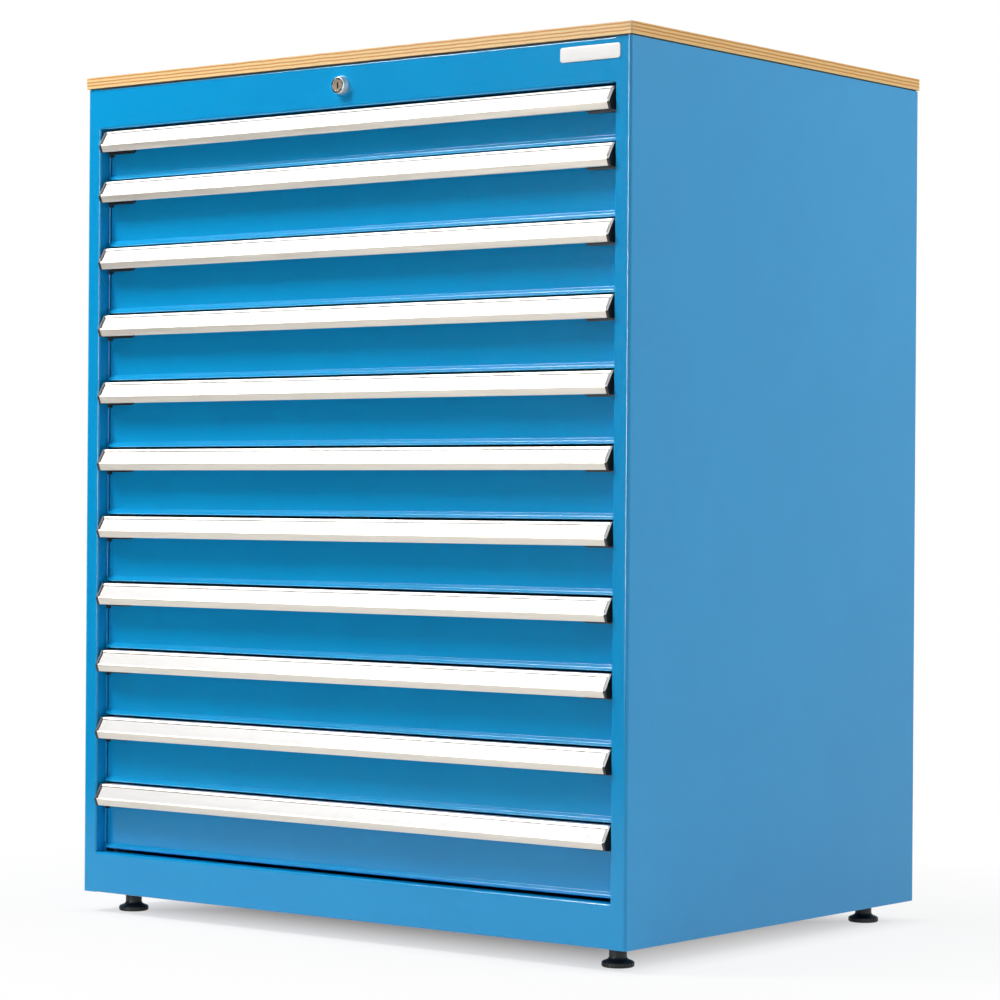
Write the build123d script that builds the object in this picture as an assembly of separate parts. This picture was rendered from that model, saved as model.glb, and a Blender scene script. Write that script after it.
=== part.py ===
from build123d import *
import os
from math import hypot, radians, sin

# A sheet metal drawer cabinet. All sizes are in millimetres.
# X runs across the front, Y from the front to the back, Z up from the floor.
# The origin is on the floor, under the middle of the whole cabinet.

# Body
BODY_W = 1005.0
BODY_D = 725.0
BODY_H = 1200.0
SHEET = 1.5
BEND = 1.5
CORNER_BEND = 3.0
STILE = 26.0
TOP_BAND = 60.0
BOTTOM_BAND = 60.0
JAMB = 20.0
JAMB_LIP = 2.0
REAR_FLANGE = 20.0
BEND_ROOM = 0.5

# Wooden worktop on a thin underlay
BOARD = 16.5
UNDERLAY = 1.5
UNDERLAY_INSET = 3.0
OVERHANG = 2.5
CORNER_CHAMFER = 1.6
SCREW_D = 6.0
SCREW_HEAD_D = 13.0
SCREW_HEAD_H = 3.0
SCREW_SLOT_W = 1.2
SCREW_SLOT_L = 8.0
SCREW_BITE = 11.0
SCREW_INSET = 70.0

# Levelling feet
FOOT_H = 30.0
FOOT_INSET_X = 52.0
FOOT_INSET_Y = 55.0
FOOT_PAD_D = 44.0
FOOT_PAD_H = 7.5
FOOT_PAD_EDGE = 1.5
FOOT_SHOULDER_H = 3.5
FOOT_FILLET = 5.0
FOOT_STEM_D = 24.0
FOOT_RIBS = 24
FOOT_GROOVE_DEPTH = 0.8
FOOT_GROOVE_W = 2.0
FOOT_TRAVEL = 15.0
STUD_D = 12.0
STUD_SPARE = 10.0
NUT_PLATE = 48.0
NUT_PLATE_T = 4.0

# Clearances: turning or sliding fits, drilled holes, and pieces that pass each other
RUNNING_GAP = 0.05
HOLE_GAP = 0.1
CLEAR = 0.3
# How far a cut runs past the face that it opens
PAST = 1.0

# Drawers
DRAWERS = 11
FIRST_SLOT = 75.0
BOTTOM_ROOM = 5.0
RECESS = 19.0
DRAWER_GAP = 4.0
HANDLE_DROP = 3.4
FRONT_SHEET = 1.2
FRONT_BEND = 1.0
FRONT_RETURN = 10.0
LIP_H = 4.0
BEVEL_H = 4.0
LIP_OUT = 4.0
EDGE_ROUND = 2.5
TRAY_SHEET = 1.2
TRAY_ROOM = 73.6
WALL_DROP = 19.0
HEM = 6.0
SLOT_PITCH = 34.0
SLOT_W = 2.4
SLOT_MARGIN = 10.0

# Telescopic slides and the posts that carry them
POST_DEPTH = 26.0
POST_W = 40.0
POST_SETBACK = 8.0
SLIDE_SPACE = 18.5
SLIDE_SHORTER = 12.0
SLIDE_SHEET = 1.5
SLIDE_BEND = 0.8
SLIDE_GAP = 0.3
RAIL_H = 45.0
RAIL_DEPTH = 10.0
RAIL_RISE = 27.0
RAIL_START = 3.0
STOP_T = 3.0
STOP_H = 16.0
MEMBER_GAP = 1.5

# Aluminium grip, drawn from the drawer front outwards
GRIP_WALL = 1.8
GRIP_SHELF = 13.0
GRIP_REACH = 26.5
GRIP_SLOPE_H = 22.0
GRIP_H = 31.5
GRIP_TIP = 22.5
GRIP_CURL = 4.0
GRIP_FLANGE = 14.0
GRIP_NOSE_BEND = 1.2
GRIP_EDGE_BEND = 0.2
LABEL_START = 3.4
LABEL_END = 23.6
LABEL_DEPTH = 0.9
LABEL_UNDERCUT = 0.4

# Plastic end caps of the grip
CAP = 4.0
CAP_RIM = 0.5
CAP_ROUND = 1.0
PLUG_L = 10.0
LEG_L = 48.0
LEG_H = 2.5
LEG_W = 7.0
LEG_TOE = 5.0
PAD_W = 6.0
PAD_H = 6.0
PAD_T = 4.0

# Lock
LOCK_BODY_D = 19.0
LOCK_BODY_L = 22.0
BEZEL_D = 28.0
BEZEL_FRONT_D = 20.6
BEZEL_RIM = 1.2
LOCK_PROUD = 9.0
PLUG_D = 16.0
PLUG_RECESS = 0.8
KEY_W = 2.5
KEY_H = 8.7
KEY_DEPTH = 14.0
LOCK_NUT_AF = 25.0
LOCK_NUT_T = 4.0
ROD_D = 8.0
COLLAR_D = 22.0
COLLAR_T = 2.0
CRANK_T = 3.0
CRANK_HUB_D = 12.0
CRANK_EYE_D = 9.0
PIN_D = 4.0
PIN_ROOM = 0.4
HANGER_W = 30.0
HANGER_T = 2.0
HANGER_SETBACK = 40.0

# Locking bar behind the drawers
LOCK_TRAVEL = 9.0
BAR_W = 40.0
BAR_T = 3.0
BAR_BACK_GAP = 12.0
BAR_TAIL = 30.0
BAR_HEAD = 10.0
GUIDE_W = 12.0
GUIDE_H = 16.0
GUIDE_T = 3.0
CATCH_RISE = 48.0
CATCH_W = 24.0
CATCH_L = 20.0
CATCH_T = 2.0
CATCH_PIN_D = 6.0
CATCH_DROP = 9.0
FINGER_W = 20.0
FINGER_T = 2.0
FINGER_PLAY = 1.0
FINGER_UNDER = 3.0
FINGER_H = 14.0

# Places worked out from the sizes above
NOSE_PROUD = GRIP_REACH + CAP_RIM - RECESS
PROUD = max(LOCK_PROUD, NOSE_PROUD, OVERHANG)
FRONT = (PROUD - BODY_D) / 2
REAR = FRONT + BODY_D
SIDE = BODY_W / 2
INNER = SIDE - SHEET
JAMB_X = SIDE - STILE
BASE = FOOT_H
TOP = BASE + BODY_H
OPEN_TOP = TOP - TOP_BAND
OPEN_BOTTOM = BASE + BOTTOM_BAND
BEND_CORNER = SHEET + BEND + BEND_ROOM
FRONT_CORNER = SHEET + CORNER_BEND + BEND_ROOM
POST_X = INNER - POST_DEPTH
TRAY_X = POST_X - SLIDE_SPACE
PANEL_X = JAMB_X - DRAWER_GAP
GRIP_X = PANEL_X - CAP
PANEL_Y = FRONT + RECESS
TRAY_FRONT = PANEL_Y + FRONT_SHEET
BACK_Y = REAR - 2 * SHEET
BAR_Y1 = BACK_Y - BAR_BACK_GAP
BAR_Y0 = BAR_Y1 - BAR_T
TRAY_BACK = BAR_Y0 - TRAY_ROOM
TRAY_DEPTH = TRAY_BACK - TRAY_SHEET - TRAY_FRONT
RAIL_Y0 = PANEL_Y + FRONT_RETURN + RAIL_START
RAIL_Y1 = RAIL_Y0 + TRAY_DEPTH - SLIDE_SHORTER
MEMBER_Y1 = RAIL_Y1 - STOP_T - CLEAR
MID_WEB_X = POST_X - SLIDE_SHEET - SLIDE_GAP
MID_TIP_X = TRAY_X + SLIDE_SHEET + MEMBER_GAP
DRAWER_TIP_X = MID_WEB_X - SLIDE_SHEET - MEMBER_GAP
MID_HALF_H = RAIL_H / 2 - SLIDE_SHEET - SLIDE_GAP
DRAWER_HALF_H = MID_HALF_H - SLIDE_SHEET - SLIDE_GAP
POST_FRONT_Y = RAIL_Y0 + POST_SETBACK
POST_REAR_Y = RAIL_Y1 - POST_SETBACK - POST_W
LOCK_Z = TOP - TOP_BAND / 2
CRANK_R = LOCK_TRAVEL / (2 * sin(radians(45)))
CRANK_DROP = LOCK_TRAVEL / 2
CRANK_Y1 = BAR_Y0 - CLEAR
LATER_SLOT = (OPEN_TOP - OPEN_BOTTOM - BOTTOM_ROOM - FIRST_SLOT) / (DRAWERS - 1)


def slot_height(number):
    """Height of a drawer's share of the opening, counted from the top."""
    return FIRST_SLOT if number == 1 else LATER_SLOT


def slot_bottom(number):
    """Height above the floor of the lower edge of a drawer's front."""
    return OPEN_TOP - FIRST_SLOT - (number - 1) * LATER_SLOT


def block(x, y, z):
    """Box from a low and a high value on each axis."""
    centre = Pos((x[0] + x[1]) / 2, (y[0] + y[1]) / 2, (z[0] + z[1]) / 2)
    return centre * Box(x[1] - x[0], y[1] - y[0], z[1] - z[0])


def cylinder_y(radius, y0, y1, x=0.0, z=0.0):
    """Round bar along Y."""
    return Pos(x, (y0 + y1) / 2, z) * Rot(90, 0, 0) * Cylinder(radius, y1 - y0)


def cylinder_z(radius, z0, z1, x=0.0, y=0.0):
    """Round bar along Z."""
    return Pos(x, y, (z0 + z1) / 2) * Cylinder(radius, z1 - z0)


def along_x(face, low, high):
    """Solid with a section drawn in (y, z) between two values of x."""
    plane = Plane(origin=(low, 0, 0), x_dir=(0, 1, 0), z_dir=(1, 0, 0))
    return extrude(plane * face, amount=high - low)


def along_y(face, low, high):
    """Solid with a section drawn in (x, z) between two values of y."""
    plane = Plane(origin=(0, high, 0), x_dir=(1, 0, 0), z_dir=(0, -1, 0))
    return extrude(plane * face, amount=high - low)


def along_z(face, low, high):
    """Solid with a section drawn in (x, y) between two values of z."""
    return extrude(Plane.XY.offset(low) * face, amount=high - low)


def mirrored(piece):
    """The same piece on the other side of the cabinet."""
    return mirror(piece, about=Plane.YZ)


def outline(points, radii):
    """Closed flat face with its own radius at each corner."""
    return make_face(FilletPolyline(*points, radius=radii, close=True).edges())


def sharp_outline(points):
    """Closed flat face with sharp corners."""
    return outline(points, [0.0] * len(points))


def fitting_radius(radius, before, corner, after):
    """The radius, or less where the sides next to the corner are short."""
    ax, ay = corner[0] - before[0], corner[1] - before[1]
    bx, by = after[0] - corner[0], after[1] - corner[1]
    la, lb = hypot(ax, ay), hypot(bx, by)
    cosine = max(-1.0, min(1.0, (ax * bx + ay * by) / (la * lb)))
    half_tangent = ((1 - cosine) / (1 + cosine)) ** 0.5
    return min(radius, 0.45 * min(la, lb) / half_tangent)


def folded_sheet(path, thickness, bend):
    """Section of a folded sheet: the path is one face and the metal lies on its left.

    bend is the inside radius, one for all folds or a list with one for each.
    """
    folds = len(path) - 2
    bends = list(bend) if isinstance(bend, (list, tuple)) else [bend] * folds
    normals = []
    for (x0, y0), (x1, y1) in zip(path, path[1:]):
        length = hypot(x1 - x0, y1 - y0)
        normals.append(((y0 - y1) / length, (x1 - x0) / length))
    far = [(path[0][0] + thickness * normals[0][0], path[0][1] + thickness * normals[0][1])]
    near_radii, far_radii = [0.0], [0.0]
    for index in range(1, folds + 1):
        (ax, ay), (bx, by) = normals[index - 1], normals[index]
        reach = thickness / (1 + ax * bx + ay * by)
        far.append((path[index][0] + reach * (ax + bx), path[index][1] + reach * (ay + by)))
        left_turn = ax * by - ay * bx > 0
        inside = bends[index - 1]
        near_radii.append(inside + thickness if left_turn else inside)
        far_radii.append(inside if left_turn else inside + thickness)
    far.append((path[-1][0] + thickness * normals[-1][0], path[-1][1] + thickness * normals[-1][1]))
    near_radii.append(0.0)
    far_radii.append(0.0)
    for side, radii in ((path, near_radii), (far, far_radii)):
        for index in range(1, folds + 1):
            radii[index] = fitting_radius(radii[index], *side[index - 1:index + 2])
    return outline(list(path) + far[::-1], near_radii + far_radii[::-1])


def side_panel():
    """Right side: side sheet, front stile, jamb of the opening and rear flange."""
    stile_and_side = [(JAMB_X, FRONT), (SIDE, FRONT), (SIDE, REAR), (SIDE - REAR_FLANGE, REAR)]
    jamb = [(JAMB_X - JAMB_LIP, FRONT + JAMB), (JAMB_X, FRONT + JAMB)]
    beside_bands = folded_sheet(stile_and_side, SHEET, [CORNER_BEND, BEND])
    beside_opening = folded_sheet(jamb + stile_and_side, SHEET, [BEND, BEND, CORNER_BEND, BEND])
    panel = along_z(beside_bands, BASE, OPEN_BOTTOM)
    panel += along_z(beside_opening, OPEN_BOTTOM, OPEN_TOP)
    panel += along_z(beside_bands, OPEN_TOP, TOP)
    return panel


def closing_sheet(section, z_low, z_high):
    """Top or bottom of the body: a full width section, notched around the side panels."""
    sheet = along_x(section, -INNER, INNER)
    for sign in (-1, 1):
        outer = sign * (SIDE + PAST)
        stile = sorted((sign * JAMB_X, outer))
        front_bend = sorted((sign * (SIDE - FRONT_CORNER), outer))
        rear_bend = sorted((sign * (SIDE - BEND_CORNER), outer))
        flange = sorted((sign * (SIDE - REAR_FLANGE), outer))
        sheet -= block(stile, (FRONT - PAST, FRONT + SHEET), (z_low, z_high))
        sheet -= block(front_bend, (FRONT - PAST, FRONT + FRONT_CORNER), (z_low, z_high))
        sheet -= block(flange, (REAR - SHEET, REAR + PAST), (z_low, z_high))
        sheet -= block(rear_bend, (REAR - BEND_CORNER, REAR + PAST), (z_low, z_high))
    return sheet


def worktop_screw_places():
    """Three screws along the front and three along the back."""
    x_inset = SIDE - SCREW_INSET
    for x in (-x_inset, 0.0, x_inset):
        for y in (FRONT + SCREW_INSET, REAR - SCREW_INSET):
            yield x, y


def top_cover():
    """Top plate with the front band, the lock hole and a hanger for the lock's rod."""
    path = [
        (REAR, TOP - REAR_FLANGE),
        (REAR, TOP),
        (FRONT, TOP),
        (FRONT, OPEN_TOP),
        (FRONT + JAMB, OPEN_TOP),
    ]
    cover = closing_sheet(folded_sheet(path, SHEET, BEND), OPEN_TOP - PAST, TOP + PAST)
    cover -= cylinder_y(LOCK_BODY_D / 2 + HOLE_GAP, FRONT - PAST, FRONT + BEND_CORNER, z=LOCK_Z)
    for x, y in worktop_screw_places():
        cover -= cylinder_z(SCREW_D / 2 + HOLE_GAP, TOP - SHEET - PAST, TOP + PAST, x, y)
    hanger_y = CRANK_Y1 - CRANK_T - HANGER_SETBACK
    hanger = block(
        (-HANGER_W / 2, HANGER_W / 2),
        (hanger_y, hanger_y + HANGER_T),
        (LOCK_Z - ROD_D, TOP - SHEET),
    )
    hanger -= cylinder_y(ROD_D / 2 + RUNNING_GAP, hanger_y - PAST, hanger_y + HANGER_T + PAST, z=LOCK_Z)
    return cover + hanger


def base_pan():
    """Floor of the body with the bottom band and the four nut plates of the feet."""
    path = [
        (FRONT + JAMB, OPEN_BOTTOM),
        (FRONT, OPEN_BOTTOM),
        (FRONT, BASE),
        (REAR, BASE),
        (REAR, BASE + REAR_FLANGE),
    ]
    pan = closing_sheet(folded_sheet(path, SHEET, BEND), BASE - PAST, OPEN_BOTTOM + PAST)
    plate_top = BASE + SHEET + NUT_PLATE_T
    for x, y in foot_places().values():
        half = NUT_PLATE / 2
        pan += block((x - half, x + half), (y - half, y + half), (BASE + SHEET / 2, plate_top))
    for x, y in foot_places().values():
        pan -= cylinder_z(STUD_D / 2 + RUNNING_GAP, BASE - PAST, plate_top + PAST, x, y)
    return pan


def back_panel():
    """Flat back sheet inside the rear flanges, and the guides that hold the locking bar."""
    half = SIDE - BEND_CORNER
    sheet = block((-half, half), (BACK_Y, REAR - SHEET), (BASE + BEND_CORNER, TOP - BEND_CORNER))
    guides = []
    for number in (1, (DRAWERS + 1) // 2, DRAWERS):
        z = slot_bottom(number) - GUIDE_H
        half = BAR_W / 2 + GUIDE_W
        slot_half = BAR_W / 2 + CLEAR
        guide = block((-half, half), (BAR_Y0 - CLEAR - GUIDE_T, BACK_Y), (z, z + GUIDE_H))
        slot_y = (BAR_Y0 - CLEAR, BAR_Y1 + CLEAR)
        guide -= block((-slot_half, slot_half), slot_y, (z - PAST, z + GUIDE_H + PAST))
        guides.append(guide)
    return [sheet] + guides


def worktop():
    """Plywood board with cut corners, on a dark underlay that is set back all round."""
    board_z0 = TOP + UNDERLAY
    board = block(
        (-SIDE - OVERHANG, SIDE + OVERHANG),
        (FRONT - OVERHANG, REAR),
        (board_z0, board_z0 + BOARD),
    )
    board = chamfer(board.edges().filter_by(Axis.Z), CORNER_CHAMFER)
    underlay = block(
        (-SIDE + UNDERLAY_INSET, SIDE - UNDERLAY_INSET),
        (FRONT + UNDERLAY_INSET, REAR - UNDERLAY_INSET),
        (TOP, board_z0),
    )
    for x, y in worktop_screw_places():
        board -= cylinder_z(SCREW_D / 2 + HOLE_GAP, board_z0 - PAST, board_z0 + SCREW_BITE, x, y)
        underlay -= cylinder_z(SCREW_D / 2 + HOLE_GAP, TOP - PAST, board_z0 + PAST, x, y)
    return [board, underlay]


def worktop_screws():
    """Pan head screws, up through the top plate into the board."""
    head_top = TOP - SHEET
    tip = TOP + UNDERLAY + SCREW_BITE - CLEAR
    screws = []
    for x, y in worktop_screw_places():
        screw = cylinder_z(SCREW_HEAD_D / 2, head_top - SCREW_HEAD_H, head_top, x, y)
        screw += cylinder_z(SCREW_D / 2, head_top - SCREW_HEAD_H / 2, tip, x, y)
        screw -= Pos(x, y, head_top - SCREW_HEAD_H) * Box(SCREW_SLOT_W, SCREW_SLOT_L, SCREW_HEAD_H)
        screws.append(screw)
    return screws


def foot_places():
    """Name and centre of each foot."""
    x = SIDE - FOOT_INSET_X
    y_front, y_rear = FRONT + FOOT_INSET_Y, REAR - FOOT_INSET_Y
    return {
        "foot_front_left": (-x, y_front),
        "foot_front_right": (x, y_front),
        "foot_rear_left": (-x, y_rear),
        "foot_rear_right": (x, y_rear),
    }


def foot():
    """Levelling foot on the Z axis: ribbed pad, domed shoulder, stem and threaded stud."""
    pad_r, stem_r = FOOT_PAD_D / 2, FOOT_STEM_D / 2
    shoulder = FOOT_PAD_H + FOOT_SHOULDER_H
    stem_top = FOOT_H - CLEAR
    stud_top = BASE + SHEET + NUT_PLATE_T + FOOT_TRAVEL + STUD_SPARE
    section = outline(
        [
            (0, 0),
            (pad_r - FOOT_PAD_EDGE, 0),
            (pad_r, FOOT_PAD_EDGE),
            (pad_r, FOOT_PAD_H - FOOT_PAD_EDGE),
            (pad_r - FOOT_PAD_EDGE, FOOT_PAD_H),
            (stem_r, shoulder),
            (stem_r, stem_top),
            (0, stem_top),
        ],
        [0, 0, 0, 0, 0, FOOT_FILLET, 0, 0],
    )
    body = revolve(Plane.XZ * section, axis=Axis.Z)
    groove_h = FOOT_PAD_H - 2 * FOOT_PAD_EDGE
    groove = Pos(pad_r, 0, FOOT_PAD_H / 2) * Box(2 * FOOT_GROOVE_DEPTH, FOOT_GROOVE_W, groove_h)
    for index in range(FOOT_RIBS):
        body -= Rot(0, 0, 360 * index / FOOT_RIBS) * groove
    return body + cylinder_z(STUD_D / 2, stem_top - PAST, stud_top)


def slide_uprights():
    """Four posts of folded sheet between floor and top plate, open towards the side panels."""
    posts = []
    for y in (POST_FRONT_Y, POST_REAR_Y):
        path = [(INNER, y + POST_W), (POST_X, y + POST_W), (POST_X, y), (INNER, y)]
        post = along_z(folded_sheet(path, SHEET, BEND), BASE + SHEET, TOP - SHEET)
        posts += [post, mirrored(post)]
    return posts


def channel(web_x, tip_x, half_height, y0, y1, z):
    """Slide member of C section with its web at one x and its flanges reaching another."""
    points = [(tip_x, z - half_height), (web_x, z - half_height)]
    points += [(web_x, z + half_height), (tip_x, z + half_height)]
    if tip_x > web_x:
        points = points[::-1]
    return along_y(folded_sheet(points, SLIDE_SHEET, SLIDE_BEND), y0, y1)


def cabinet_rails():
    """Fixed members on the posts, two for each drawer, each with a closing stop."""
    rails = []
    for number in range(1, DRAWERS + 1):
        z = slot_bottom(number) + RAIL_RISE
        rail = channel(POST_X, POST_X - RAIL_DEPTH, RAIL_H / 2, RAIL_Y0, RAIL_Y1, z)
        rail += block(
            (POST_X - RAIL_DEPTH, POST_X - SLIDE_SHEET / 2),
            (RAIL_Y1 - STOP_T, RAIL_Y1),
            (z - STOP_H / 2, z + STOP_H / 2),
        )
        rails += [mirrored(rail), rail]
    return rails


def mid_slides(number):
    """The two middle members, which run in the rails and carry the drawer's members."""
    z = slot_bottom(number) + RAIL_RISE
    member = channel(MID_WEB_X, MID_TIP_X, MID_HALF_H, RAIL_Y0, MEMBER_Y1, z)
    return [mirrored(member), member]


def slot_row(length, height):
    """Row of narrow upright slots, centred, for partitions."""
    count = int((length - 2 * SLOT_MARGIN) // SLOT_PITCH) + 1
    first = -(count - 1) * SLOT_PITCH / 2
    places = [Pos(first + index * SLOT_PITCH, 0) for index in range(count)]
    return Sketch() + [place * Rectangle(SLOT_W, height) for place in places]


def drawer_tray(number):
    """Steel drawer: stepped front, slotted walls, slide members, rear catch and its pin."""
    z0 = slot_bottom(number)
    top = z0 + slot_height(number) - HANDLE_DROP
    wall_top = z0 + slot_height(number) - WALL_DROP

    lip_y = PANEL_Y - LIP_OUT
    bevel_top = z0 + LIP_H + BEVEL_H
    front_path = [
        (PANEL_Y + FRONT_RETURN, top),
        (PANEL_Y, top),
        (PANEL_Y, bevel_top),
        (lip_y, z0 + LIP_H),
        (lip_y, z0),
        (PANEL_Y + FRONT_RETURN, z0),
    ]
    half_sheet = FRONT_SHEET / 2
    front = along_x(folded_sheet(front_path, FRONT_SHEET, FRONT_BEND), -PANEL_X, PANEL_X)
    for sign in (-1, 1):
        edge = sorted((sign * PANEL_X, sign * (PANEL_X - FRONT_SHEET)))
        front += block(edge, (PANEL_Y, PANEL_Y + FRONT_RETURN), (z0 + half_sheet, top - half_sheet))
    for sign in (-1, 1):
        centre_x, centre_y = sign * (PANEL_X - EDGE_ROUND), PANEL_Y + EDGE_ROUND
        corner_x = sorted((sign * (PANEL_X + PAST), centre_x))
        corner = block(corner_x, (PANEL_Y - PAST, centre_y), (bevel_top, top + PAST))
        front -= corner - cylinder_z(EDGE_ROUND, z0, top + 2 * PAST, centre_x, centre_y)

    hem_z = wall_top - TRAY_SHEET
    shell_path = [
        (-TRAY_X - HEM, hem_z),
        (-TRAY_X, hem_z),
        (-TRAY_X, z0),
        (TRAY_X, z0),
        (TRAY_X, hem_z),
        (TRAY_X + HEM, hem_z),
    ]
    shell = along_y(folded_sheet(shell_path, TRAY_SHEET, FRONT_BEND), TRAY_FRONT - half_sheet, TRAY_BACK)
    back_x = (-TRAY_X + TRAY_SHEET / 2, TRAY_X - TRAY_SHEET / 2)
    back = block(back_x, (TRAY_BACK - TRAY_SHEET, TRAY_BACK), (z0 + TRAY_SHEET / 2, wall_top))

    slot_h = wall_top - z0 - 2 * SLOT_MARGIN
    slot_z = (wall_top + z0) / 2
    side_slots = Pos((TRAY_FRONT + TRAY_BACK) / 2, slot_z) * slot_row(TRAY_DEPTH, slot_h)
    shell -= along_x(side_slots, -TRAY_X - PAST, TRAY_X + PAST)
    back_slots = Pos(0, slot_z) * slot_row(2 * TRAY_X, slot_h)
    back -= along_y(back_slots, TRAY_BACK - TRAY_SHEET - PAST, TRAY_BACK + PAST)

    tray = front + shell + back
    member = channel(TRAY_X, DRAWER_TIP_X, DRAWER_HALF_H, RAIL_Y0, MEMBER_Y1, z0 + RAIL_RISE)

    catch_z = z0 + CATCH_RISE
    catch_y = (TRAY_BACK, TRAY_BACK + CATCH_L)
    catch = block((-CATCH_W / 2, CATCH_W / 2), catch_y, (catch_z, catch_z + CATCH_T))
    pin_y = TRAY_BACK + CATCH_L - CATCH_PIN_D / 2
    pin = cylinder_z(CATCH_PIN_D / 2, catch_z - CATCH_DROP, catch_z, y=pin_y)
    return [tray, mirrored(member), member, catch, pin]


def grip_points(number):
    """Corners of the grip's outer face as (y, z), from its foot on the front to its tip."""
    top = slot_bottom(number) + slot_height(number) - HANDLE_DROP
    return [
        (PANEL_Y, top - GRIP_FLANGE),
        (PANEL_Y, top),
        (PANEL_Y - GRIP_SHELF, top),
        (PANEL_Y - GRIP_REACH, top - GRIP_SLOPE_H),
        (PANEL_Y - GRIP_TIP, top - GRIP_H),
        (PANEL_Y - GRIP_TIP + GRIP_CURL, top - GRIP_H),
    ]


def drawer_grip(number):
    """Aluminium grip: mounting flange, shelf, sloping label face and rolled lower edge."""
    points = grip_points(number)
    bends = [GRIP_EDGE_BEND, GRIP_EDGE_BEND, GRIP_NOSE_BEND, GRIP_EDGE_BEND]
    grip = along_x(folded_sheet(points, GRIP_WALL, bends), -GRIP_X, GRIP_X)
    (y0, z0), (y1, z1) = points[2], points[3]
    length = hypot(y1 - y0, z1 - z0)
    down = ((y1 - y0) / length, (z1 - z0) / length)
    out = (down[1], -down[0])

    def on_slope(distance, height):
        return (y0 + down[0] * distance + out[0] * height, z0 + down[1] * distance + out[1] * height)

    recess = [
        on_slope(LABEL_START, GRIP_WALL),
        on_slope(LABEL_START, 0.0),
        on_slope(LABEL_START - LABEL_UNDERCUT, -LABEL_DEPTH),
        on_slope(LABEL_END + LABEL_UNDERCUT, -LABEL_DEPTH),
        on_slope(LABEL_END, 0.0),
        on_slope(LABEL_END, GRIP_WALL),
    ]
    return grip - along_x(sharp_outline(recess), -GRIP_X - PAST, GRIP_X + PAST)


def drawer_grip_caps(number):
    """Plastic caps on the ends of the grip, each with a plug, a thin leg and a side pad."""
    points = grip_points(number)
    foot_z = points[4][1]
    nose_round = GRIP_WALL + GRIP_NOSE_BEND
    closed = outline(points[1:5] + [(PANEL_Y, foot_z)], [0, CAP_ROUND, nose_round, CAP_ROUND, 0])
    rim = offset(closed, amount=CAP_RIM)
    low, high = foot_z - 2 * CAP_RIM, points[1][1] + 2 * CAP_RIM
    reach = GRIP_REACH + 2 * CAP_RIM
    keep = Pos(PANEL_Y - reach / 2, (low + high) / 2) * Rectangle(reach, high - low)
    cap = along_x(rim & keep, GRIP_X, PANEL_X)

    inside = GRIP_WALL + CLEAR
    cap += block(
        (GRIP_X - PLUG_L, GRIP_X + CAP / 2),
        (PANEL_Y - GRIP_SHELF + inside, PANEL_Y - inside),
        (points[0][1], points[1][1] - inside),
    )

    leg_x0, leg_x1 = GRIP_X - LEG_L, GRIP_X + CAP / 2
    leg = [
        (leg_x0, foot_z + LEG_H),
        (leg_x0, foot_z),
        (leg_x0 + LEG_TOE, foot_z - LEG_H),
        (leg_x1, foot_z - LEG_H),
        (leg_x1, foot_z + LEG_H),
    ]
    cap += along_y(sharp_outline(leg), PANEL_Y - LEG_W, PANEL_Y)
    pad_x = (PANEL_X - PAD_W, PANEL_X)
    cap += block(pad_x, (PANEL_Y - PAD_T, PANEL_Y), (foot_z - PAD_H, foot_z + CAP_RIM))
    return [mirrored(cap), cap]


def lock_housing():
    """Cylinder lock body with its conical bezel, and the nut behind the band."""
    body_r, bore_r = LOCK_BODY_D / 2, PLUG_D / 2 + RUNNING_GAP
    bezel_section = outline(
        [
            (bore_r, 0),
            (BEZEL_D / 2, 0),
            (BEZEL_D / 2, BEZEL_RIM),
            (BEZEL_FRONT_D / 2 + BEZEL_RIM, LOCK_PROUD),
            (bore_r, LOCK_PROUD),
        ],
        [0, 0, BEZEL_RIM / 3, BEZEL_RIM, BEZEL_RIM / 3],
    )
    bezel = Pos(0, FRONT, LOCK_Z) * Rot(90, 0, 0) * revolve(Plane.XZ * bezel_section, axis=Axis.Z)
    body = cylinder_y(body_r, FRONT - PAST, FRONT + LOCK_BODY_L, z=LOCK_Z)
    body -= cylinder_y(bore_r, FRONT - 2 * PAST, FRONT + LOCK_BODY_L + PAST, z=LOCK_Z)
    nut_y = FRONT + SHEET
    hexagon = Pos(0, LOCK_Z) * RegularPolygon(LOCK_NUT_AF / 2, 6, major_radius=False)
    nut = along_y(hexagon, nut_y, nut_y + LOCK_NUT_T)
    nut -= cylinder_y(body_r + HOLE_GAP, nut_y - PAST, nut_y + LOCK_NUT_T + PAST, z=LOCK_Z)
    return [bezel + body, nut]


def lock_plug():
    """Turning core with its key slot, the rod to the back and the crank that moves the bar."""
    plug_y1 = FRONT + LOCK_BODY_L + CLEAR
    plug_y0 = FRONT - LOCK_PROUD + PLUG_RECESS
    core = cylinder_y(PLUG_D / 2, plug_y0, plug_y1 + COLLAR_T, z=LOCK_Z)
    key_z = (LOCK_Z - KEY_H / 2, LOCK_Z + KEY_H / 2)
    core -= block((-KEY_W / 2, KEY_W / 2), (plug_y0 - PAST, plug_y0 + KEY_DEPTH), key_z)
    core += cylinder_y(COLLAR_D / 2, plug_y1, plug_y1 + COLLAR_T, z=LOCK_Z)
    core += cylinder_y(ROD_D / 2, plug_y1, CRANK_Y1, z=LOCK_Z)
    pin_x, pin_z = -CRANK_DROP, LOCK_Z - CRANK_DROP
    arm = Pos(0, LOCK_Z) * Circle(CRANK_HUB_D / 2) + Pos(pin_x, pin_z) * Circle(CRANK_EYE_D / 2)
    core += along_y(arm, CRANK_Y1 - CRANK_T, CRANK_Y1)
    core += cylinder_y(PIN_D / 2, CRANK_Y1 - CRANK_T / 2, BAR_Y1 + CLEAR, x=pin_x, z=pin_z)
    return core


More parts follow.
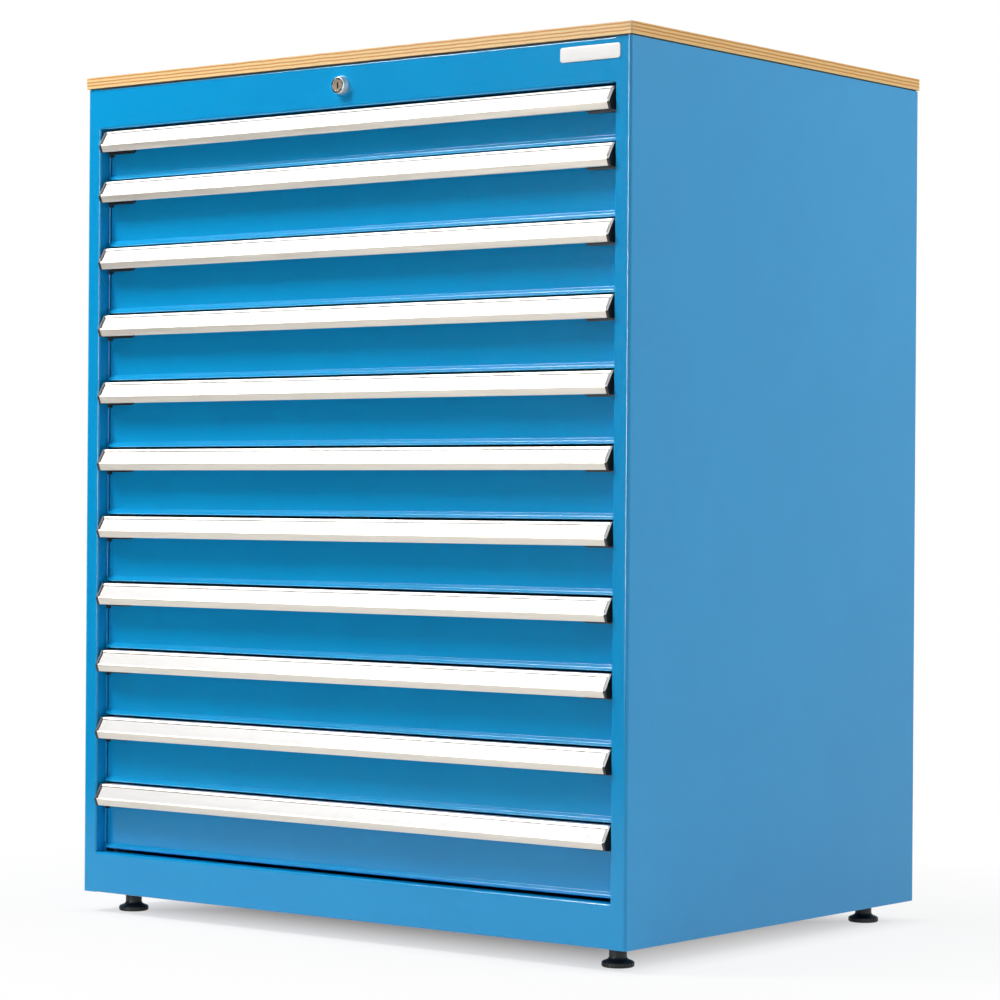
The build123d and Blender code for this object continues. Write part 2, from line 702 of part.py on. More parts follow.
def locking_bar():
    """Flat bar with a slot for the crank pin, and for each drawer an arm with an upright lip."""
    pin_z = LOCK_Z - CRANK_DROP
    bar_top = pin_z + BAR_HEAD
    bar_bottom = slot_bottom(DRAWERS) - BAR_TAIL
    bar = block((-BAR_W / 2, BAR_W / 2), (BAR_Y0, BAR_Y1), (bar_bottom, bar_top))
    slot_half = PIN_D / 2 + PIN_ROOM
    slot_x = (-CRANK_R - slot_half, -CRANK_DROP + slot_half)
    bar -= block(slot_x, (BAR_Y0 - PAST, BAR_Y1 + PAST), (pin_z - slot_half, pin_z + slot_half))
    pieces = [bar]
    lip_y1 = TRAY_BACK + CATCH_L - CATCH_PIN_D - FINGER_PLAY
    lip_y0 = lip_y1 - FINGER_T
    finger_x = (-FINGER_W / 2, FINGER_W / 2)
    for number in range(1, DRAWERS + 1):
        lip_top = slot_bottom(number) + CATCH_RISE - CATCH_DROP - FINGER_UNDER
        arm_top = lip_top - FINGER_H
        pieces.append(block(finger_x, (lip_y0, BAR_Y0), (arm_top - FINGER_T, arm_top)))
        pieces.append(block(finger_x, (lip_y0, lip_y1), (arm_top, lip_top)))
    return pieces


def save(name, *pieces):
    """Write one file with every solid of the pieces."""
    solids = [solid for piece in pieces for solid in piece.solids()]
    export_step(Compound(solids), f"parts/{name}.step")


os.makedirs("parts", exist_ok=True)
right_panel = side_panel()
save("side_panel_right", right_panel)
save("side_panel_left", mirrored(right_panel))
save("top_cover", top_cover())
save("base_pan", base_pan())
save("back_panel", *back_panel())
save("worktop", *worktop())
save("worktop_screws", *worktop_screws())
save("slide_uprights", *slide_uprights())
save("cabinet_rails", *cabinet_rails())
save("lock_housing", *lock_housing())
save("lock_plug", lock_plug())
save("locking_bar", *locking_bar())
for foot_name, (foot_x, foot_y) in foot_places().items():
    save(foot_name, Pos(foot_x, foot_y) * foot())
for drawer in range(1, DRAWERS + 1):
    save(f"drawer_{drawer:02d}_tray", *drawer_tray(drawer))
    save(f"drawer_{drawer:02d}_grip", drawer_grip(drawer))
    save(f"drawer_{drawer:02d}_grip_caps", *drawer_grip_caps(drawer))
    save(f"drawer_{drawer:02d}_mid_slides", *mid_slides(drawer))
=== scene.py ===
import math

import bmesh
import bpy
from mathutils import Matrix, Vector


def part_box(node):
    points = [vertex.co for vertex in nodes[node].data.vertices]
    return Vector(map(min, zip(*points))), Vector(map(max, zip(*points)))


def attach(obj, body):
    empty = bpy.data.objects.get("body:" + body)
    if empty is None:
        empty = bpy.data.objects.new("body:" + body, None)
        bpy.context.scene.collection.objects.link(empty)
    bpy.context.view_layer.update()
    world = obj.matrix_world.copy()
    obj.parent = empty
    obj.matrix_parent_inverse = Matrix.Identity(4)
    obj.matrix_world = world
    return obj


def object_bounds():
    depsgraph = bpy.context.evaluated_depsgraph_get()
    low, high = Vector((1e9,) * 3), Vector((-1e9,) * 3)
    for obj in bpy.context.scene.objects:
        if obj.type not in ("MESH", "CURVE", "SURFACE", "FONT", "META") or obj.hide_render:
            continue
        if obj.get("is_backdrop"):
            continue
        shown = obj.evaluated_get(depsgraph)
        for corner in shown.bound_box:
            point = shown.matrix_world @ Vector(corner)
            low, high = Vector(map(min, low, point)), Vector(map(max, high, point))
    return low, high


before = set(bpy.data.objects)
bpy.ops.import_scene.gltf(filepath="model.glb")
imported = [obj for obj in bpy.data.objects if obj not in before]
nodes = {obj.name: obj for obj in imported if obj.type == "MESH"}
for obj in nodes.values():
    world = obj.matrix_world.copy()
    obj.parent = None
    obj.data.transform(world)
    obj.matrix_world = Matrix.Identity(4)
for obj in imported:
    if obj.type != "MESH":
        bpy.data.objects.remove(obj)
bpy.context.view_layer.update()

MM = 0.001
DRAWERS = 11
WHITE = (1.0, 1.0, 1.0)
EVEN = (1.0, 1.0, 1.0)

# Camera, as it stood for the photograph, in metres and degrees
CAMERA_PLACE = (2.9883, -3.7826, 0.6181)
CAMERA_YAW = 38.25
CAMERA_PITCH = 0.022
CAMERA_ROLL = 0.395
CAMERA_LENS = 116.39
CAMERA_REACH = 200.0

# Colours, linear
PAINT_BLUE = (0.001, 0.388, 0.815)
PAINT_DEEP = (0.001, 0.373, 0.795)
ALUMINIUM = (0.88, 0.83, 0.75)
ALUMINIUM_DARK = (0.82, 0.76, 0.67)
# Grip recess: dark colours painted into it as painted shade, for the shadow line above each label
RECESS_SHADE_GREY = (0.10, 0.09, 0.08)
RECESS_SHADE_DARK = (0.07, 0.06, 0.05)
LABEL_WHITE = (0.80, 0.775, 0.75)
PLY_LIGHT = (1.0, 0.68, 0.30)
PLY_DARK = (0.74, 0.30, 0.05)
# Paler ply colours for the worktop's corner chamfer: a painted highlight
PLY_CORNER_HIGHLIGHT = (0.99, 0.86, 0.62)
PLY_FIBRE = (0.62, 0.55, 0.45)
VENEER_DARK = (0.60, 0.36, 0.16)
VENEER_MIDDLE = (0.70, 0.45, 0.22)
VENEER_LIGHT = (0.76, 0.51, 0.27)
VENEER_PORE = (0.74, 0.66, 0.56)
# Black of the feet, also on the layer under the worktop, where it is painted shade standing in for
# the shadow gap under the board
RUBBER_BLACK_AND_GAP_SHADE = (0.008, 0.008, 0.008)
PLASTIC_BLACK = (0.018, 0.017, 0.017)
ZINC = (0.62, 0.63, 0.64)
NICKEL = (0.78, 0.75, 0.71)
# Lock plug: brown metal, darkened as painted shade of its recess behind the bezel
PLUG_BROWN_SHADED = (0.26, 0.21, 0.165)
PLUG_SHADE = 0.6
PLATE_WHITE = (0.95, 0.94, 0.92)
CLOTH_BLACK = (0.004, 0.004, 0.004)
CLOTH_GREY = (0.008, 0.008, 0.008)

# Worktop: heights of the board's faces, and the dark veneers as middle and half width of its depth
BOARD_TOP = 1.248
BOARD_BOTTOM = 1.2315
PLY_BANDS = ((0.14, 0.060), (0.44, 0.060), (0.72, 0.060))
BAND_FADE = 1.3
BAND_CORE = 0.6
FACE_FLAT = 0.9
FACE_SLANTED = 0.5
HEIGHT_SLACK = 0.1 * MM

# Grip: distances along its slope and out of it, from the slope's upper edge
PANEL_Y = -0.339
SLOPE_START = 13.0 * MM
SLOPE_DIR = Vector((0.0, -0.523, -0.852))
SLOPE_OUT = Vector((0.0, -0.852, 0.523))
RECESS_FROM = 2.8 * MM
RECESS_TO = 24.2 * MM
RECESS_FLOOR = -1.0 * MM
RECESS_MOUTH = -0.1 * MM
LABEL_FROM = 4.5 * MM
LABEL_TO = 23.7 * MM
LABEL_BACK = -0.85 * MM
LABEL_THICK = 0.5 * MM
LABEL_EDGE = 0.15 * MM
LABEL_CROWN = 0.1 * MM
LABEL_END_GAP = 1.5 * MM
LABEL_STEPS = 24

# Drawer: past these planes its faces belong to the slides and the catch, in bare steel
TRAY_SIDE = 0.4567
TRAY_START = -0.33
TRAY_REAR = 0.2756

# Name plate on the top band, with its edge as pairs of inset in mm and share of the thickness
PLATE_X = (0.386, 0.485)
PLATE_Z = (1.2012, 1.2212)
PLATE_FACE = -0.358
PLATE_ROUND = 4.0 * MM
PLATE_TIP = 0.5 * MM
PLATE_THICK = 1.0 * MM
PLATE_EDGE = ((0.0, 0.0), (0.0, 0.7), (0.12, 0.92), (0.35, 1.0), (3.0, 1.12))
PLATE_ARC_STEPS = 8

# Floor: half size of the footprint, and how white the floor is seen by distance past it; the white
# is a painted glow that covers the cast shadow away from the footprint, warm near it against the
# blue bounce light
FLOOR_REACH = 30.0
FLOOR_WHITE = 0.86
GLOW_TINT_AGAINST_BOUNCE = (1.0, 0.95, 0.89)
FOOT_HALF_X = 0.50
FOOT_HALF_Y = 0.36
SHADE_FROM = -0.25
SHADE_TO = 0.75
SHADE_STOPS = ((0.03, 0.15), (0.29, 0.88), (1.0, 1.0))
TINT_STOPS = (0.3, 0.8)

# Dark card that only reflections show
FLAG_MIDDLE = Vector((-1.09, -1.67, 0.0))
FLAG_ALONG = Vector((0.77, -0.64, 0.0)) * 3.2
FLAG_UP = Vector((0.0, 0.0, 3.2))

# Light: the world's strength, and for each lamp its place, its aim, its two sizes, its power in
# watts and whether it lights matt surfaces
FILL = 0.24
LAMPS = {
    "overhead": ((-1.9, -1.9, 3.7), (-0.2, -0.4, 0.5), 0.8, 1.4, 132.0, True),
    "strip": ((-0.45, -3.1, 1.15), (0.45, -0.36, 1.0), 0.3, 1.6, 80.0, False),
    "bar": ((-1.6, -2.5, 2.9), (0.0, -0.36, 0.8), 1.4, 0.4, 190.0, False),
    "right": ((3.0, 1.5, 2.6), (0.5, 0.2, 0.4), 2.0, 2.0, 48.0, True),
}


def new_material(name, roughness, metallic=0.0):
    material = bpy.data.materials.new(name)
    material.use_nodes = True
    shader = material.node_tree.nodes["Principled BSDF"]
    shader.inputs["Roughness"].default_value = roughness
    shader.inputs["Metallic"].default_value = metallic
    return material, material.node_tree, shader


def empty_material(name):
    """A material with nothing but its output node."""
    material = bpy.data.materials.new(name)
    material.use_nodes = True
    tree = material.node_tree
    tree.nodes.clear()
    return material, tree, tree.nodes.new("ShaderNodeOutputMaterial")


def place(tree, stretch=EVEN):
    coords = tree.nodes.new("ShaderNodeTexCoord")
    mapping = tree.nodes.new("ShaderNodeMapping")
    mapping.inputs["Scale"].default_value = stretch
    tree.links.new(coords.outputs["Object"], mapping.inputs["Vector"])
    return mapping.outputs["Vector"]


def object_axes(tree):
    coords = tree.nodes.new("ShaderNodeTexCoord")
    axes = tree.nodes.new("ShaderNodeSeparateXYZ")
    tree.links.new(coords.outputs["Object"], axes.inputs["Vector"])
    return axes.outputs


def noise(tree, vector, scale, detail=2.0, roughness=0.5):
    node = tree.nodes.new("ShaderNodeTexNoise")
    node.inputs["Scale"].default_value = scale
    node.inputs["Detail"].default_value = detail
    node.inputs["Roughness"].default_value = roughness
    tree.links.new(vector, node.inputs["Vector"])
    return node.outputs["Fac"]


def ramp(tree, factor, stops):
    """Colours by factor, from pairs of position and colour."""
    node = tree.nodes.new("ShaderNodeValToRGB")
    elements = node.color_ramp.elements
    while len(elements) < len(stops):
        elements.new(0.5)
    for element, (position, colour) in zip(elements, stops):
        element.position = position
        element.color = (*colour, 1.0)
    tree.links.new(factor, node.inputs["Fac"])
    return node.outputs["Color"]


def spread(tree, factor, low, high, start=0.3, stop=0.7):
    """The factor's range from start to stop, stretched from low to high."""
    node = tree.nodes.new("ShaderNodeMapRange")
    node.inputs["From Min"].default_value = start
    node.inputs["From Max"].default_value = stop
    node.inputs["To Min"].default_value = low
    node.inputs["To Max"].default_value = high
    tree.links.new(factor, node.inputs["Value"])
    return node.outputs["Result"]


def maths(tree, operation, *values):
    """A math node fed with sockets or plain numbers."""
    node = tree.nodes.new("ShaderNodeMath")
    node.operation = operation
    for socket, value in zip(node.inputs, values):
        if isinstance(value, float):
            socket.default_value = value
        else:
            tree.links.new(value, socket)
    return node.outputs["Value"]


def multiply(tree, base, shade, share):
    """The base colour darkened by the given share of the shade."""
    mix = tree.nodes.new("ShaderNodeMix")
    mix.data_type = "RGBA"
    mix.blend_type = "MULTIPLY"
    mix.inputs["Factor"].default_value = share
    tree.links.new(base, mix.inputs["A"])
    tree.links.new(shade, mix.inputs["B"])
    return mix.outputs["Result"]


def mix_shaders(tree, factor, first, second):
    mix = tree.nodes.new("ShaderNodeMixShader")
    tree.links.new(factor, mix.inputs["Fac"])
    tree.links.new(first, mix.inputs[1])
    tree.links.new(second, mix.inputs[2])
    return mix.outputs["Shader"]


def add_bump(tree, shader, *layers):
    """Relief from pairs of height and its depth in metres, one over the other."""
    normal = None
    for height, distance in layers:
        node = tree.nodes.new("ShaderNodeBump")
        node.inputs["Distance"].default_value = distance
        node.inputs["Strength"].default_value = 1.0
        tree.links.new(height, node.inputs["Height"])
        if normal is not None:
            tree.links.new(normal, node.inputs["Normal"])
        normal = node.outputs["Normal"]
    tree.links.new(normal, shader.inputs["Normal"])


def set_colour(tree, shader, colour):
    tree.links.new(colour, shader.inputs["Base Color"])


def set_gloss(tree, shader, factor, low, high):
    """Roughness between low and high, by the factor."""
    tree.links.new(spread(tree, factor, low, high), shader.inputs["Roughness"])


def darker(colour, share):
    return tuple(channel * share for channel in colour)


def powder_coat(name, colour, deep):
    """Glossy paint with faint clouds, orange peel and grit."""
    material, tree, shader = new_material(name, 0.16)
    spot = place(tree)
    clouds = noise(tree, spot, scale=9.0, detail=3.0)
    set_colour(tree, shader, ramp(tree, clouds, ((0.35, deep), (0.65, colour))))
    set_gloss(tree, shader, noise(tree, spot, scale=160.0), low=0.14, high=0.20)
    peel = noise(tree, spot, scale=420.0)
    grit = noise(tree, spot, scale=1500.0, detail=1.0)
    add_bump(tree, shader, (peel, 0.03 * MM), (grit, 0.01 * MM))
    return material


def brushed_metal(name, colour, dark, roughness, stretch, scale, metallic=1.0):
    """Metal with fine lines, along the axis that is stretched least."""
    material, tree, shader = new_material(name, roughness, metallic)
    lines = noise(tree, place(tree, stretch), scale, detail=4.0, roughness=0.6)
    set_colour(tree, shader, ramp(tree, lines, ((0.30, dark), (0.70, colour))))
    set_gloss(tree, shader, lines, roughness - 0.05, roughness + 0.07)
    add_bump(tree, shader, (lines, 0.02 * MM))
    return material


def zinc_plate(name, colour, roughness):
    """Plated steel with crystals of slightly different shade."""
    material, tree, shader = new_material(name, roughness, 1.0)
    spot = place(tree)
    spangle = tree.nodes.new("ShaderNodeTexVoronoi")
    spangle.inputs["Scale"].default_value = 110.0
    tree.links.new(spot, spangle.inputs["Vector"])
    shade = tree.nodes.new("ShaderNodeSeparateColor")
    tree.links.new(spangle.outputs["Color"], shade.inputs["Color"])
    stops = ((0.0, darker(colour, 0.84)), (1.0, colour))
    set_colour(tree, shader, ramp(tree, shade.outputs["Red"], stops))
    haze = noise(tree, spot, scale=220.0, detail=3.0)
    set_gloss(tree, shader, haze, roughness - 0.06, roughness + 0.08)
    add_bump(tree, shader, (noise(tree, spot, scale=900.0), 0.01 * MM))
    return material


def moulded_plastic(name, colour, roughness, grain=1300.0, depth=0.05 * MM):
    """Dark plastic with a moulded grain and paler patches."""
    material, tree, shader = new_material(name, roughness)
    spot = place(tree)
    pale = tuple(channel * 1.7 + 0.004 for channel in colour)
    patches = noise(tree, spot, scale=60.0, detail=4.0)
    set_colour(tree, shader, ramp(tree, patches, ((0.35, colour), (0.75, pale))))
    haze = noise(tree, spot, scale=300.0)
    set_gloss(tree, shader, haze, roughness - 0.06, roughness + 0.08)
    add_bump(tree, shader, (noise(tree, spot, grain), depth))
    return material


def strip_plastic(name, colour):
    """Pale matt sheet with a faint fibre."""
    material, tree, shader = new_material(name, 0.45)
    fibres = noise(tree, place(tree, (1.0, 1.0, 3.0)), scale=700.0, detail=3.0)
    stops = ((0.35, darker(colour, 0.965)), (0.65, colour))
    set_colour(tree, shader, ramp(tree, fibres, stops))
    set_gloss(tree, shader, noise(tree, place(tree), scale=90.0), low=0.38, high=0.52)
    add_bump(tree, shader, (fibres, 0.02 * MM))
    return material


def ply_edge(name, light, dark):
    """Bands of veneer by height, with short wavering fibres along the edge."""
    material, tree, shader = new_material(name, 0.5)
    shader.inputs["Specular IOR Level"].default_value = 0.25
    axes = object_axes(tree)
    waves = noise(tree, place(tree, (1.0, 1.0, 0.2)), scale=35.0, detail=3.0)
    waver = spread(tree, waves, low=-0.02, high=0.02)
    depth = spread(tree, axes["Z"], low=0.0, high=1.0, start=BOARD_TOP, stop=BOARD_BOTTOM)
    stops = [(0.0, light)]
    for middle, half in PLY_BANDS:
        stops.append((middle - half * BAND_FADE, light))
        stops.append((middle - half * BAND_CORE, dark))
        stops.append((middle + half * BAND_CORE, dark))
        stops.append((middle + half * BAND_FADE, light))
    bands = ramp(tree, maths(tree, "ADD", depth, waver), stops)
    fibres = noise(tree, place(tree, (1.0, 1.0, 9.0)), scale=130.0, detail=4.0, roughness=0.65)
    shade = ramp(tree, fibres, ((0.3, PLY_FIBRE), (0.6, WHITE)))
    set_colour(tree, shader, multiply(tree, bands, shade, share=0.22))
    add_bump(tree, shader, (fibres, 0.1 * MM))
    return material


def ply_face(name):
    """Face veneer with a grain along X and fine pores."""
    material, tree, shader = new_material(name, 0.42)
    flow = noise(tree, place(tree, (1.2, 9.0, 1.0)), scale=4.0, detail=5.0, roughness=0.6)
    fine = noise(tree, place(tree, (6.0, 130.0, 1.0)), scale=6.0, detail=4.0, roughness=0.6)
    grain = ramp(tree, flow, ((0.32, VENEER_DARK), (0.5, VENEER_MIDDLE), (0.68, VENEER_LIGHT)))
    pores = ramp(tree, fine, ((0.35, VENEER_PORE), (0.6, WHITE)))
    set_colour(tree, shader, multiply(tree, grain, pores, share=0.6))
    set_gloss(tree, shader, fine, low=0.36, high=0.50)
    add_bump(tree, shader, (fine, 0.04 * MM))
    return material


body_paint = powder_coat("powder_coat_body", PAINT_BLUE, PAINT_DEEP)
drawer_paint = powder_coat("powder_coat_drawers", PAINT_BLUE, PAINT_DEEP)
grip_lines = {"stretch": (1.0, 60.0, 60.0), "scale": 9.0}
grip_metal = brushed_metal(
    "anodised_aluminium", ALUMINIUM, ALUMINIUM_DARK, 0.42, metallic=0.55, **grip_lines
)
# Grip recess metal, painted dark as the recess's painted shade
grip_recess_shade = brushed_metal(
    "aluminium_recess_painted_shade", RECESS_SHADE_GREY, RECESS_SHADE_DARK, 0.6, metallic=0.3, **grip_lines
)
cap_plastic = moulded_plastic("cap_plastic", PLASTIC_BLACK, 0.38)
slide_steel = zinc_plate("galvanised_slides", ZINC, 0.52)
plated_steel = zinc_plate("plated_steel", ZINC, 0.30)
lock_nickel = zinc_plate("bright_nickel", NICKEL, 0.16)
# Lock plug, in metal darkened as painted shade of its recess
plug_shaded_metal = brushed_metal(
    "lock_plug", PLUG_BROWN_SHADED, darker(PLUG_BROWN_SHADED, PLUG_SHADE), 0.34, stretch=EVEN, scale=900.0
)
foot_plastic = moulded_plastic("foot_plastic", RUBBER_BLACK_AND_GAP_SHADE, 0.46, grain=900.0, depth=0.08 * MM)
# Black layer under the board: painted shade for the shadow gap beneath the worktop
underlay_shade = moulded_plastic("underlay_painted_gap_shade", RUBBER_BLACK_AND_GAP_SHADE, 0.7)
label_plastic = strip_plastic("label_strip", LABEL_WHITE)
plate_white = strip_plastic("plate_enamel", PLATE_WHITE)
board_edge = ply_edge("ply_edge", PLY_LIGHT, PLY_DARK)
# Paler bands on the corner chamfer, as a painted highlight
board_corner_highlight = ply_edge("ply_corner_painted_highlight", PLY_CORNER_HIGHLIGHT, PLY_LIGHT)
board_face = ply_face("ply_face")


def paint(node, *materials):
    slots = nodes[node].data.materials
    slots.clear()
    for material in materials:
        slots.append(material)


def repaint_faces(node, index, wanted):
    """Give the node's material of that index to the faces wanted by centre and normal."""
    for face in nodes[node].data.polygons:
        if wanted(face.center, face.normal):
            face.material_index = index


for piece in ("side_panel_left", "side_panel_right", "top_cover", "base_pan", "back_panel"):
    paint(piece, body_paint)
for piece in ("slide_uprights", "cabinet_rails"):
    paint(piece, slide_steel)
for piece in ("locking_bar", "worktop_screws"):
    paint(piece, plated_steel)
paint("lock_housing", lock_nickel)
paint("lock_plug", plug_shaded_metal)
for end in ("front_left", "front_right", "rear_left", "rear_right"):
    paint("foot_" + end, foot_plastic)


def in_board_face(centre, normal):
    return abs(normal.z) > FACE_FLAT and centre.z > BOARD_BOTTOM - HEIGHT_SLACK


# The layer under the board, painted black as shade of the gap
def in_gap_shade_layer(centre, normal):
    return centre.z < BOARD_BOTTOM - HEIGHT_SLACK


# The worktop's corner chamfer, which gets the painted highlight
def in_highlit_corner(centre, normal):
    slanted = abs(normal.x) > FACE_SLANTED and abs(normal.y) > FACE_SLANTED
    return slanted and centre.z > BOARD_BOTTOM


paint("worktop", board_edge, board_face, underlay_shade, board_corner_highlight)
for index, wanted in enumerate((in_board_face, in_gap_shade_layer, in_highlit_corner), start=1):
    repaint_faces("worktop", index, wanted)


def loft(name, rings, smooth=False):
    """A closed piece through rings of points, with a flat face at both ends."""
    form = bmesh.new()
    loops = [[form.verts.new(point) for point in ring] for ring in rings]
    count = len(loops[0])
    for first, second in zip(loops, loops[1:]):
        for i in range(count):
            j = (i + 1) % count
            form.faces.new((first[i], first[j], second[j], second[i]))
    form.faces.new(loops[0])
    form.faces.new(list(reversed(loops[-1])))
    bmesh.ops.recalc_face_normals(form, faces=form.faces)
    mesh = bpy.data.meshes.new(name)
    form.to_mesh(mesh)
    form.free()
    for face in mesh.polygons:
        face.use_smooth = smooth
    piece = bpy.data.objects.new(name, mesh)
    bpy.context.scene.collection.objects.link(piece)
    return piece


def profile_strip(name, section, x_from, x_to, steps):
    """A strip along X whose section is a closed list of (y, z) points."""
    rings = []
    for step in range(steps + 1):
        x = x_from + (x_to - x_from) * step / steps
        rings.append([(x, y, z) for y, z in section])
    return loft(name, rings)


def label_section(slope_top):
    """The strip's section in the recess of a grip, with eased edges and a faint crown."""
    top = LABEL_BACK + LABEL_THICK
    middle = (LABEL_FROM + LABEL_TO) / 2
    spots = (
        (LABEL_FROM, LABEL_BACK),
        (LABEL_FROM, top - LABEL_EDGE),
        (LABEL_FROM + LABEL_EDGE, top),
        (middle, top + LABEL_CROWN),
        (LABEL_TO - LABEL_EDGE, top),
        (LABEL_TO, top - LABEL_EDGE),
        (LABEL_TO, LABEL_BACK),
    )
    points = [slope_top + SLOPE_DIR * along + SLOPE_OUT * out for along, out in spots]
    return [(point.y, point.z) for point in points]


def in_slide_member(centre, normal):
    return abs(centre.x) > TRAY_SIDE and centre.y > TRAY_START


def in_catch(centre, normal):
    return centre.y > TRAY_REAR


def recess_shade_test(slope_top):
    """A test for the faces of the floor and undercuts of a grip's recess, which are painted dark
    as painted shade.
    """

    def in_shaded_recess(centre, normal):
        spot = centre - slope_top
        along = spot.dot(SLOPE_DIR)
        out = spot.dot(SLOPE_OUT)
        return RECESS_FROM < along < RECESS_TO and RECESS_FLOOR < out < RECESS_MOUTH

    return in_shaded_recess


for number in range(1, DRAWERS + 1):
    body = "drawer_%02d" % number
    tray = body + "_tray"
    grip = body + "_grip"
    paint(tray, drawer_paint, slide_steel)
    repaint_faces(tray, 1, in_slide_member)
    repaint_faces(tray, 1, in_catch)
    paint(grip, grip_metal, grip_recess_shade)
    paint(body + "_grip_caps", cap_plastic)
    paint(body + "_mid_slides", slide_steel)
    low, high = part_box(grip)
    slope_top = Vector((0.0, PANEL_Y - SLOPE_START, high.z))
    # Paint the recess faces with the painted shade
    repaint_faces(grip, 1, recess_shade_test(slope_top))
    strip_from = low.x + LABEL_END_GAP
    strip_to = high.x - LABEL_END_GAP
    section = label_section(slope_top)
    strip = profile_strip(body + "_label_strip", section, strip_from, strip_to, LABEL_STEPS)
    strip.data.materials.append(label_plastic)
    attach(strip, body)


def rounded_plate(name, x_range, z_range, radius, back, thickness):
    """A plate on the XZ plane that stands out towards -Y, with round corners and an eased edge."""
    corners = (
        (x_range[1] - radius, z_range[1] - radius, 0),
        (x_range[0] + radius, z_range[1] - radius, 90),
        (x_range[0] + radius, z_range[0] + radius, 180),
        (x_range[1] - radius, z_range[0] + radius, 270),
    )
    rings = []
    for inset, height in PLATE_EDGE:
        turn = max(radius - inset * MM, PLATE_TIP)
        ring = []
        for cx, cz, start in corners:
            for step in range(PLATE_ARC_STEPS + 1):
                angle = math.radians(start + 90 * step / PLATE_ARC_STEPS)
                x = cx + turn * math.cos(angle)
                z = cz + turn * math.sin(angle)
                ring.append((x, back - thickness * height, z))
        rings.append(ring)
    return loft(name, rings, smooth=True)


plate = rounded_plate("name_plate", PLATE_X, PLATE_Z, PLATE_ROUND, PLATE_FACE, PLATE_THICK)
plate.data.materials.append(plate_white)
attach(plate, "cabinet")


def seen_factor(tree):
    """1 for the rays that show the background itself: camera, glossy and transmission rays."""
    path = tree.nodes.new("ShaderNodeLightPath").outputs
    seen = maths(tree, "MAXIMUM", path["Is Camera Ray"], path["Is Glossy Ray"])
    return maths(tree, "MAXIMUM", seen, path["Is Transmission Ray"])


def stage_plane(name, corners, material):
    mesh = bpy.data.meshes.new(name)
    mesh.from_pydata(corners, [], [(0, 1, 2, 3)])
    mesh.materials.append(material)
    piece = bpy.data.objects.new(name, mesh)
    bpy.context.scene.collection.objects.link(piece)
    piece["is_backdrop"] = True
    return piece


def floor_material():
    """Plain pale floor that turns to the background's white away from the footprint: a painted
    glow that covers the cast shadow there, warmed near the footprint against the blue bounce
    light.
    """
    material, tree, out = empty_material("floor_white")
    plain = tree.nodes.new("ShaderNodeBsdfDiffuse")
    plain.inputs["Color"].default_value = (FLOOR_WHITE, FLOOR_WHITE, FLOOR_WHITE, 1.0)
    glow = tree.nodes.new("ShaderNodeEmission")
    axes = object_axes(tree)
    past_x = maths(tree, "SUBTRACT", maths(tree, "ABSOLUTE", axes["X"]), FOOT_HALF_X)
    past_y = maths(tree, "SUBTRACT", maths(tree, "ABSOLUTE", axes["Y"]), FOOT_HALF_Y)
    away = maths(tree, "MAXIMUM", past_x, past_y)
    reach = spread(tree, away, low=0.0, high=1.0, start=SHADE_FROM, stop=SHADE_TO)
    share = ramp(tree, reach, [(spot, (level, level, level)) for spot, level in SHADE_STOPS])
    near, far = TINT_STOPS
    tree.links.new(ramp(tree, share, ((near, GLOW_TINT_AGAINST_BOUNCE), (far, WHITE))), glow.inputs["Color"])
    both = mix_shaders(tree, share, plain.outputs["BSDF"], glow.outputs["Emission"])
    seen = mix_shaders(tree, seen_factor(tree), plain.outputs["BSDF"], both)
    tree.links.new(seen, out.inputs["Surface"])
    return material


def cloth_material():
    material, tree, shader = new_material("flag_dark", 0.9)
    weave = noise(tree, place(tree), scale=40.0, detail=3.0)
    set_colour(tree, shader, ramp(tree, weave, ((0.3, CLOTH_BLACK), (0.7, CLOTH_GREY))))
    return material


def background(tree, strength):
    node = tree.nodes.new("ShaderNodeBackground")
    node.inputs["Color"].default_value = (*WHITE, 1.0)
    node.inputs["Strength"].default_value = strength
    return node.outputs["Background"]


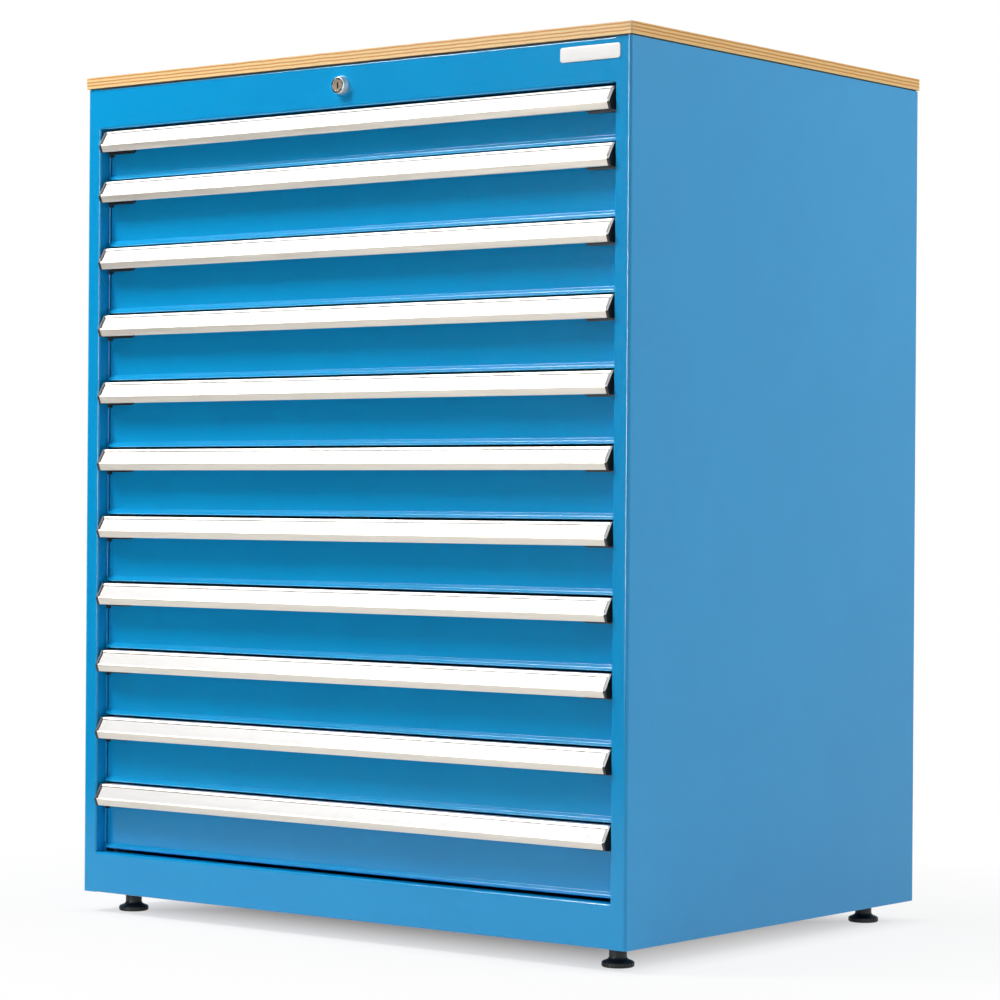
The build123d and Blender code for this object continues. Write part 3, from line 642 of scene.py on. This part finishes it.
def softbox(name, at, aim, size_x, size_y, power, on_matt):
    data = bpy.data.lights.new(name, "AREA")
    data.shape = "RECTANGLE"
    data.size = size_x
    data.size_y = size_y
    data.energy = power
    lamp = bpy.data.objects.new(name, data)
    lamp.location = at
    towards = Vector(aim) - Vector(at)
    lamp.rotation_euler = towards.to_track_quat("-Z", "Y").to_euler()
    lamp.visible_diffuse = on_matt
    bpy.context.scene.collection.objects.link(lamp)


floor_corners = [
    (-FLOOR_REACH, -FLOOR_REACH, 0.0),
    (FLOOR_REACH, -FLOOR_REACH, 0.0),
    (FLOOR_REACH, FLOOR_REACH, 0.0),
    (-FLOOR_REACH, FLOOR_REACH, 0.0),
]
stage_plane("floor", floor_corners, floor_material())

flag_corners = [
    FLAG_MIDDLE - FLAG_ALONG,
    FLAG_MIDDLE + FLAG_ALONG,
    FLAG_MIDDLE + FLAG_ALONG + FLAG_UP,
    FLAG_MIDDLE - FLAG_ALONG + FLAG_UP,
]
flag = stage_plane("flag", flag_corners, cloth_material())
flag.visible_camera = False
flag.visible_shadow = False
flag.visible_diffuse = False

world = bpy.data.worlds.new("studio")
bpy.context.scene.world = world
world.use_nodes = True
world_tree = world.node_tree
world_tree.nodes.clear()
world_out = world_tree.nodes.new("ShaderNodeOutputWorld")
light = background(world_tree, FILL)
backdrop = background(world_tree, 1.0)
both = mix_shaders(world_tree, seen_factor(world_tree), light, backdrop)
world_tree.links.new(both, world_out.inputs["Surface"])

for name, (at, aim, size_x, size_y, power, on_matt) in LAMPS.items():
    softbox(name, at, aim, size_x, size_y, power, on_matt)

camera_data = bpy.data.cameras.new("camera")
camera_data.lens = CAMERA_LENS
camera_data.clip_end = CAMERA_REACH
camera = bpy.data.objects.new("camera", camera_data)
turn = Matrix.Rotation(math.radians(CAMERA_YAW), 4, "Z")
tilt = Matrix.Rotation(math.radians(90 + CAMERA_PITCH), 4, "X")
roll = Matrix.Rotation(math.radians(CAMERA_ROLL), 4, "Z")
camera.matrix_world = Matrix.Translation(CAMERA_PLACE) @ turn @ tilt @ roll
bpy.context.scene.collection.objects.link(camera)
bpy.context.scene.camera = camera
bpy.context.scene.view_settings.view_transform = "Standard"

low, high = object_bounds()
